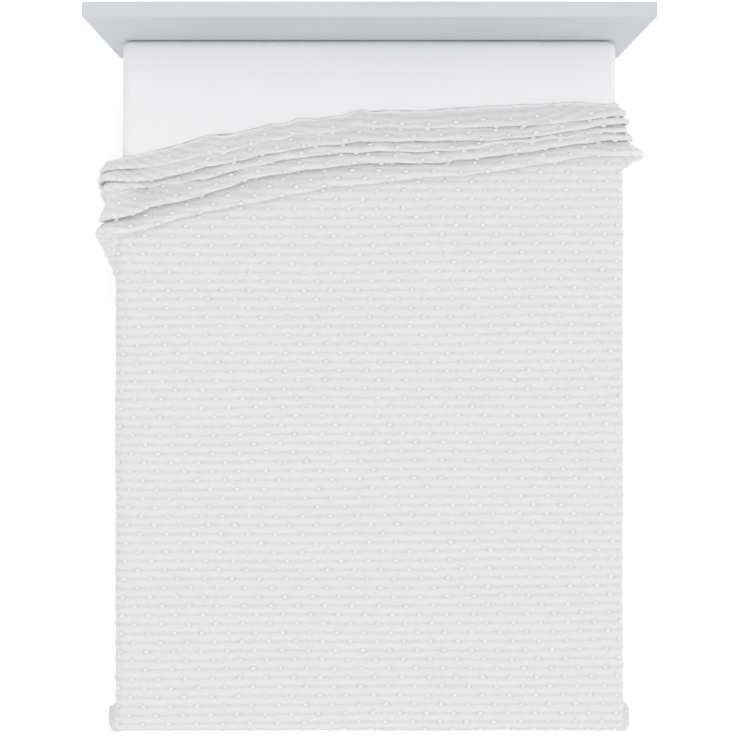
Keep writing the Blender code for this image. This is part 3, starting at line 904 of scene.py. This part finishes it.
    def relief(self, grid: ClothGrid) -> Array:
        """How far the pile stands off the cloth: its ribs, and its turned hems."""
        band = np.abs(np.sin(math.pi * grid.along / self.rib_pitch)) ** self.rib_roundness
        past = np.clip((grid.along - grid.along[:, grid.flat_rows][:, None]) / self.folded_after, 0.0, 1.0)
        folded = 1 - (1 - self.folded_share) * past
        pressed = np.clip(1 - grid.hollow / self.flattening_bend, self.least_pressed, 1.0)
        ribs = self.rib_relief * band * folded * pressed
        ends = grid.along[:, -1:]
        inset = np.minimum(self.width / 2 - np.abs(grid.across), np.minimum(grid.along, ends - grid.along))
        rim = np.clip(inset / self.rim, 0.0, 1.0) ** 0.5
        seam = np.where(np.abs(inset - self.hem_width) < self.seam, self.seam_height, 1.0)
        turned = self.hem_relief * rim * seam * pressed
        return np.where(inset < self.hem_width + self.seam, turned, ribs)

    @staticmethod
    def numbers(grid: ClothGrid) -> Array:
        """A point number for each column and row, with rows past a fold's start given its first point."""
        number = np.arange(grid.along.size).reshape(grid.along.shape)
        first = number[:, grid.flat_rows][:, None]
        return np.where(grid.used, number, first)

    @staticmethod
    def faces(number: Array) -> list[tuple[int, ...]]:
        """Faces between neighbouring columns and rows, without those that have no area."""
        found = []
        for low, high in zip(number[:-1], number[1:]):
            corners = np.stack((low[:-1], high[:-1], high[1:], low[1:]), axis=1)
            for face in corners.tolist():
                kept = list(dict.fromkeys(face))
                if len(kept) > 2:
                    found.append(tuple(kept))
        return found

    @staticmethod
    def strip(near: list[tuple[float, int]], far: list[tuple[float, int]]) -> list[tuple[int, ...]]:
        """Triangles between two lines of (place, point number) pairs, taken up in order of place."""
        faces, i, j = [], 0, 0
        while i < len(near) - 1 or j < len(far) - 1:
            if i < len(near) - 1 and (j == len(far) - 1 or near[i + 1][0] <= far[j + 1][0]):
                faces.append((near[i][1], near[i + 1][1], far[j][1]))
                i += 1
            else:
                faces.append((near[i][1], far[j + 1][1], far[j][1]))
                j += 1
        return faces

    def hems(self, grid: ClothGrid, number: Array) -> list[list[tuple[float, int]]]:
        """The four hems as (place, point number) pairs in order: right, left, foot and head."""
        lines = []
        for column in (-1, 0):
            used = grid.used[column]
            lines.append(sorted(zip(grid.along[column][used].tolist(), number[column][used].tolist())))
        for row in (0, -1):
            lines.append(list(zip(grid.columns.tolist(), number[:, row].tolist())))
        return lines

    def sheet(self, material: Material) -> tuple[Piece, ClothGrid]:
        """Makes the closed sheet, its outer face fine and its inner face plain.

        Args:
            material: its finish.

        Returns:
            The sheet and the grid of its outer face.
        """
        columns = self.column_places()
        outer = self.grid(columns)
        half = self.drape.thickness / 2
        outside = outer.points + outer.normals * (half + self.relief(outer))[..., None]
        count, every = len(columns), self.inner_every
        kept = sorted({*range(count // 2 % every, count, every), 0, count - 1})
        inner = self.grid(columns[kept], slice(None, None, len(self.rib_steps)))
        inside = inner.points - inner.normals * half
        outer_number = self.numbers(outer)
        inner_number = self.numbers(inner) + outer.along.size
        faces = self.faces(outer_number) + [tuple(reversed(face)) for face in self.faces(inner_number)]
        inwards = (False, True, False, True)
        outer_hems, inner_hems = self.hems(outer, outer_number), self.hems(inner, inner_number)
        for flip, outer_hem, inner_hem in zip(inwards, outer_hems, inner_hems):
            faces += self.strip(outer_hem, inner_hem) if flip else self.strip(inner_hem, outer_hem)
        places = np.vstack((outside.reshape(-1, 3), inside.reshape(-1, 3)))
        across = np.concatenate((outer.across.reshape(-1), inner.across.reshape(-1)))
        along = np.concatenate((outer.along.reshape(-1), inner.along.reshape(-1)))
        piece = Builder.mesh_piece("throw_sheet", places, faces, material, np.stack((across, along), axis=1))
        return piece, outer

    def tuft_places(self, grid: ClothGrid) -> Array:
        """Places of the tufts on the flat cloth: in each groove, every other groove moved half a step."""
        chance = np.random.default_rng(self.tuft_seed)
        places = []
        margin = self.hem_width + self.tuft_margin
        for groove in range(1, int(self.length / self.rib_pitch)):
            shift = 0.5 * self.tuft_pitch * (groove % 2) + self.tuft_slant * self.rib_pitch * groove
            for step in range(-self.tufts_aside, self.tufts_aside + 1):
                jitter = chance.uniform(-self.tuft_jitter, self.tuft_jitter, 2)
                across = self.tuft_pitch * step + shift + jitter[0]
                if abs(across) < self.width / 2 - margin:
                    places.append((across, self.rib_pitch * groove + self.jitter_along * jitter[1]))
        places = np.array(places)
        places = places[places[:, 1] < grid.end(places[:, 0]) - margin]
        return places[grid.on_cloth(grid.hollow, places)[:, 0] < self.most_hollow]

    def stitch_places(self, grid: ClothGrid) -> tuple[Array, Array]:
        """Places of the stitches along the hems, and which run along the cloth's length."""
        inset = self.hem_width
        edge = self.width / 2 - inset
        side, head = [], []
        for across in (-edge, edge):
            end = float(grid.end(across)) - inset
            side += [(across, along) for along in np.arange(inset, end, self.stitch_pitch)]
        for across in np.arange(-edge, edge, self.stitch_pitch):
            head += [(across, inset), (across, float(grid.end(across)) - inset)]
        lengthways = np.array([True] * len(side) + [False] * len(head))
        return np.array(side + head), lengthways

    @staticmethod
    def scattered(grid: ClothGrid, places: Array, lengthways: Array, shape: "Repeat", lift: float) -> Piece:
        """Puts one small rounded shape at each place, turned to the cloth, through geometry nodes.

        Args:
            grid: the cloth's outer grid.
            places: where they go on the flat cloth.
            lengthways: True where a shape's length runs along the cloth.
            shape: what is repeated.
            lift: how far its middle stands off the middle of the cloth.

        Returns:
            The new piece.
        """
        nudge = 0.003
        here = grid.on_cloth(grid.points, places)
        normal = unit(grid.on_cloth(grid.normals, places))
        step = np.where(lengthways[:, None], (0.0, nudge), (nudge, 0.0))
        ahead, behind = (grid.on_cloth(grid.points, places + side * step) for side in (1, -1))
        return shape.over(here + lift * normal, normal, unit(ahead - behind))

    def build(self, plush: Material, tufting: Material, thread: Material) -> list[Piece]:
        """Makes all of the throw.

        Args:
            plush: the sheet's finish.
            tufting: the tufts' finish.
            thread: the stitches' finish.

        Returns:
            The sheet, the tufts and the stitches.
        """
        sheet, grid = self.sheet(plush)
        log.info("sheet: %d faces", len(sheet.data.polygons))
        dots = self.tuft_places(grid)
        tuft = Repeat("throw_tufts", self.tuft_size, tufting)
        tufts = self.scattered(grid, dots, np.zeros(len(dots), dtype=bool), tuft, self.tuft_lift)
        log.info("tufts: %d in %d faces", len(dots), len(tufts.data.polygons))
        seams, lengthways = self.stitch_places(grid)
        stitch = Repeat("throw_hem_stitches", self.stitch_size, thread)
        stitches = self.scattered(grid, seams, lengthways, stitch, self.stitch_lift)
        log.info("hem stitches: %d", len(seams))
        return [sheet, tufts, stitches]


@dataclass
class Repeat:
    """One small rounded shape, repeated at points by a geometry node tree."""

    name: str
    size: Point
    material: Material
    segments: int = 8
    rings: int = 4
    unevenness: float = 0.16
    seed: int = 5
    inputs: tuple[str, ...] = ("Length", "Width", "Height", "Unevenness", "Seed")

    def tree(self) -> bpy.types.GeometryNodeTree:
        """Builds the node tree, with named inputs for its sizes."""
        tree = bpy.data.node_groups.new(self.name, "GeometryNodeTree")
        face = tree.interface
        face.new_socket(name="Geometry", in_out="INPUT", socket_type="NodeSocketGeometry")
        for name in self.inputs:
            kind = "NodeSocketInt" if name == "Seed" else "NodeSocketFloat"
            face.new_socket(name=name, in_out="INPUT", socket_type=kind)
        face.new_socket(name="Geometry", in_out="OUTPUT", socket_type="NodeSocketGeometry")
        nodes = Nodes(tree)
        given = nodes.add("NodeGroupInput").outputs
        normal, way = (
            nodes.add("GeometryNodeInputNamedAttribute", {"data_type": "FLOAT_VECTOR"}, {"Name": name})
            for name in ("out", "way")
        )
        upright = nodes.add("FunctionNodeAlignRotationToVector", {"axis": "Z"}, {"Vector": normal.outputs[0]})
        turned = nodes.add(
            "FunctionNodeAlignRotationToVector",
            {"axis": "X", "pivot_axis": "Z"},
            {"Rotation": upright.outputs[0], "Vector": way.outputs[0]},
        )
        shape = nodes.add(
            "GeometryNodeMeshUVSphere", {}, {"Segments": self.segments, "Rings": self.rings, "Radius": 0.5}
        )
        uneven = Value(nodes, given["Unevenness"])
        chance = nodes.add(
            "FunctionNodeRandomValue",
            {"data_type": "FLOAT_VECTOR"},
            {0: (-1.0, -1.0, -1.0), 1: (1.0, 1.0, 1.0), "Seed": given["Seed"]},
        )
        changes = zip(self.inputs, nodes.axes(chance.outputs[0]))
        sides = [Value(nodes, given[name]) * (1 + uneven * change) for name, change in changes]
        scale = nodes.add("ShaderNodeCombineXYZ", {}, dict(enumerate(sides)))
        placed = nodes.add(
            "GeometryNodeInstanceOnPoints",
            {},
            {
                "Points": given["Geometry"],
                "Instance": shape.outputs["Mesh"],
                "Rotation": turned.outputs[0],
                "Scale": scale.outputs[0],
            },
        )
        smooth = nodes.add("GeometryNodeSetShadeSmooth", {}, {"Geometry": placed.outputs[0]})
        real = nodes.add("GeometryNodeRealizeInstances", {}, {"Geometry": smooth.outputs[0]})
        dressed = {"Geometry": real.outputs[0], "Material": self.material}
        painted = nodes.add("GeometryNodeSetMaterial", {}, dressed)
        nodes.add("NodeGroupOutput", {}, {0: painted.outputs[0]})
        return tree

    def over(self, points: Array, normals: Array, ways: Array) -> Piece:
        """Makes the shapes.

        Args:
            points: their middles.
            normals: the way that each one's height points.
            ways: the way that each one's length runs.

        Returns:
            One plain piece that holds them all.
        """
        mesh = bpy.data.meshes.new(self.name + "_points")
        mesh.from_pydata(points.tolist(), [], [])
        for name, values in (("out", normals), ("way", ways)):
            attribute = mesh.attributes.new(name, "FLOAT_VECTOR", "POINT")
            attribute.data.foreach_set("vector", values.astype(np.float32).ravel())
        seedbed = bpy.data.objects.new(self.name + "_points", mesh)
        bpy.context.scene.collection.objects.link(seedbed)
        tree = self.tree()
        modifier = seedbed.modifiers.new(self.name, "NODES")
        modifier.node_group = tree
        wanted = dict(zip(self.inputs, (*self.size, self.unevenness, self.seed)))
        for socket in tree.interface.items_tree:
            if socket.in_out == "INPUT" and socket.name in wanted:
                modifier[socket.identifier] = wanted[socket.name]
        graph = bpy.context.evaluated_depsgraph_get()
        made = bpy.data.meshes.new_from_object(seedbed.evaluated_get(graph), depsgraph=graph)
        made.name = self.name
        seedbed.modifiers.remove(modifier)
        bpy.data.objects.remove(seedbed)
        piece = bpy.data.objects.new(self.name, made)
        bpy.context.scene.collection.objects.link(piece)
        if not made.materials:
            made.materials.append(self.material)
        return piece


class Builder:
    """Makes plain pieces from points and faces."""

    @staticmethod
    def mesh_piece(
        name: str,
        points: Array,
        faces: Iterable[tuple[int, ...]],
        material: Material,
        flat: Array | None = None,
    ) -> Piece:
        """Makes one smooth piece and drops the points that no face uses.

        Args:
            name: its name.
            points: its points.
            faces: point numbers of each face, turned outwards.
            material: its finish.
            flat: where each point is on the flat cloth, if it is cloth.

        Returns:
            The piece.
        """
        faces = list(faces)
        used = np.unique(np.concatenate([np.array(face) for face in faces]))
        number = np.full(len(points), -1)
        number[used] = np.arange(len(used))
        mesh = bpy.data.meshes.new(name)
        mesh.from_pydata(points[used].tolist(), [], [tuple(number[list(face)].tolist()) for face in faces])
        mesh.shade_smooth()
        if flat is not None:
            layer = mesh.uv_layers.new(name="cloth")
            corners = np.empty(len(mesh.loops), dtype=np.int32)
            mesh.loops.foreach_get("vertex_index", corners)
            layer.data.foreach_set("uv", flat[used][corners].astype(np.float32).ravel())
        mesh.materials.append(material)
        piece = bpy.data.objects.new(name, mesh)
        bpy.context.scene.collection.objects.link(piece)
        return piece


@dataclass
class Mattress:
    """The foam mattress in its plain cotton cover: sides a little full, soft corners."""

    low: Point
    high: Point
    edge: float = 0.024
    edge_easing: float = 1.35
    fullness: float = 0.004
    end_fullness: float = 0.3
    end_sharpness: int = 8
    rim: tuple[float, float] = (0.9, 0.1)
    slack: float = 0.0012
    dips: tuple[tuple[float, float], ...] = ((9.0, 0.6), (7.0, 1.1))
    steps: tuple[int, int, int] = (64, 88, 12)

    def build(self, material: Material) -> Piece:
        """Makes the mattress.

        Args:
            material: its cover's finish.

        Returns:
            The piece.
        """
        low, high = np.array(self.low), np.array(self.high)
        centre, half = (low + high) / 2, (high - low) / 2
        points, faces = [], []
        for axis in range(3):
            first, second = [k for k in range(3) if k != axis]
            for sign in (-1, 1):
                start = len(points)
                rows = np.linspace(-1, 1, self.steps[first] + 1)
                lines = np.linspace(-1, 1, self.steps[second] + 1)
                for a in rows:
                    for b in lines:
                        place = np.zeros(3)
                        place[axis], place[first], place[second] = sign, a, b
                        points.append(place)
                width = len(lines)
                turned = (sign > 0) == (axis != 1)
                for i in range(len(rows) - 1):
                    for j in range(width - 1):
                        k = start + i * width + j
                        face = (k, k + width, k + width + 1, k + 1)
                        faces.append(face if turned else tuple(reversed(face)))
        cube = np.array(points)
        places = self.rounded(cube, half) + centre
        _, first_of, number = np.unique(np.round(cube, 6), axis=0, return_index=True, return_inverse=True)
        only = first_of[number.reshape(-1)]
        joined = [tuple(int(only[k]) for k in face) for face in faces]
        return Builder.mesh_piece("mattress_cover", places, joined, material)

    def rounded(self, cube: Array, half: Array) -> Array:
        """Carries points of a cube of side 2 to the mattress's rounded form.

        Args:
            cube: points on the cube.
            half: half of the mattress's sides.

        Returns:
            Points round the mattress's middle.
        """
        eased = np.sign(cube) * (1 - (1 - np.abs(cube)) ** self.edge_easing)
        place = eased * half
        inner = np.clip(place, -(half - self.edge), half - self.edge)
        place = inner + self.edge * unit(place - inner + 1e-12)
        side = np.clip(1 - (place[:, 2] / half[2]) ** 2, 0.0, 1.0)
        rim_start, rim_width = self.rim
        for axis, share in enumerate((1.0, self.end_fullness)):
            reach = np.clip((np.abs(cube[:, axis]) - rim_start) / rim_width, 0, 1)
            along = np.clip(1 - (place[:, 1 - axis] / half[1 - axis]) ** self.end_sharpness, 0, 1)
            full = self.fullness * share
            place[:, axis] += np.sign(cube[:, axis]) * reach * full * side * along
        top = (cube[:, 2] == 1) & (np.abs(place[:, 0]) < half[0] - self.edge)
        waves = [np.sin(place[:, axis] * rate + start) for axis, (rate, start) in enumerate(self.dips)]
        place[:, 2] -= np.where(top, self.slack * (waves[0] * waves[1] + 1) / 2, 0.0)
        return place


@dataclass
class BedParts:
    """The bed's rigid pieces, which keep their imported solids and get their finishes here."""

    legs: tuple[str, ...] = ("leg_head_left", "leg_head_right", "leg_foot_left", "leg_foot_right")

    @staticmethod
    def corners(node: str) -> tuple[Point, Point]:
        """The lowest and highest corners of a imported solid."""
        low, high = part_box(node)
        return tuple(float(c) for c in low), tuple(float(c) for c in high)

    @staticmethod
    def dress(node: str, material: Material) -> None:
        """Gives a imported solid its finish."""
        piece = bpy.data.objects[node]
        for slot in piece.material_slots:
            slot.material = material
        if not piece.material_slots:
            piece.data.materials.append(material)

    def build(self) -> None:
        """Dresses the headboard, the base and the legs."""
        for node in ("headboard", "bed_base"):
            low, high = self.corners(node)
            finish = PaintedBoardFinish(f"{node} paint", (0.655, 0.680, 0.710), 0.50, low=low, high=high)
            self.dress(node, finish.build())
        wood = StainedWoodFinish("leg stain", (0.075, 0.045, 0.030), 0.42).build()
        for node in self.legs:
            self.dress(node, wood)
        log.info("bed: headboard, base and %d legs dressed", len(self.legs))


@dataclass
class Studio:
    """The floor, the lights and the camera straight above the bed."""

    floor_half: float = 12.0
    camera_place: Point = (-0.0172, 0.1614, 5.905)
    lens: float = 95.3
    shift: tuple[float, float] = (0.0068, -0.0598)
    sky: float = 0.72
    sun: float = 0.95
    sun_spread: float = math.radians(60)
    sun_from: Point = (0.14, -0.14, 1.0)
    floor_glow: float = 0.30

    def build(self) -> None:
        """Makes the studio."""
        self.floor()
        self.light()
        self.camera()
        log.info("studio: floor, light and camera")

    def floor(self) -> None:
        """Adds the floor."""
        half = self.floor_half
        corners = [(-half, -half, 0.0), (half, -half, 0.0), (half, half, 0.0), (-half, half, 0.0)]
        mesh = bpy.data.meshes.new("floor")
        mesh.from_pydata(corners, [], [(0, 1, 2, 3)])
        mesh.materials.append(FloorFinish("floor", (0.90, 0.90, 0.90), 0.9, self.floor_glow).build())
        floor = bpy.data.objects.new("floor", mesh)
        bpy.context.scene.collection.objects.link(floor)

    def light(self) -> None:
        """Adds the sky and one broad lamp above the foot, on the right."""
        scene = bpy.context.scene
        world = bpy.data.worlds.new("studio")
        world.use_nodes = True
        world.node_tree.nodes["Background"].inputs["Color"].default_value = (1.0, 1.0, 1.0, 1.0)
        world.node_tree.nodes["Background"].inputs["Strength"].default_value = self.sky
        scene.world = world
        lamp = bpy.data.lights.new("key", "SUN")
        lamp.energy = self.sun
        lamp.angle = self.sun_spread
        key = bpy.data.objects.new("key", lamp)
        key.rotation_euler = Vector(self.sun_from).to_track_quat("Z", "Y").to_euler()
        scene.collection.objects.link(key)
        scene.view_settings.view_transform = "Standard"

    def camera(self) -> None:
        """Adds the camera, which looks straight down."""
        lens = bpy.data.cameras.new("camera")
        lens.lens = self.lens
        lens.shift_x, lens.shift_y = self.shift
        camera = bpy.data.objects.new("camera", lens)
        camera.location = self.camera_place
        bpy.context.scene.collection.objects.link(camera)
        bpy.context.scene.camera = camera


def main() -> None:
    """Builds the bed, the throw and the studio."""
    logging.basicConfig(level=logging.INFO, format="%(name)s: %(message)s")
    Studio().build()
    BedParts().build()

    low, high = BedParts.corners("mattress")
    cotton = CottonFinish("mattress cotton", (0.925, 0.92, 0.93), 0.90).build()
    mattress = Mattress(low, high).build(cotton)
    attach(mattress, "root")
    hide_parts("mattress")
    log.info("mattress: %d faces", len(mattress.data.polygons))

    drape = Drape((high[0] - low[0]) / 2, (high[1] - low[1]) / 2, high[2])
    plush = PlushFinish("white plush", (0.87, 0.87, 0.87), 0.92).build()
    tufting = PlushFinish(
        "white tufting", (0.925, 0.925, 0.925), 0.92, groove=(0.79, 0.79, 0.79), space=PatternSpace.OBJECT
    ).build()
    thread = CottonFinish("white thread", (0.82, 0.82, 0.82), 0.80, thread=0.0006).build()
    throw = Throw(drape)
    pieces = throw.build(plush, tufting, thread)
    for piece in pieces:
        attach(piece, "root")
    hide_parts("throw_blanket")


if __name__ == "__main__":
    main()
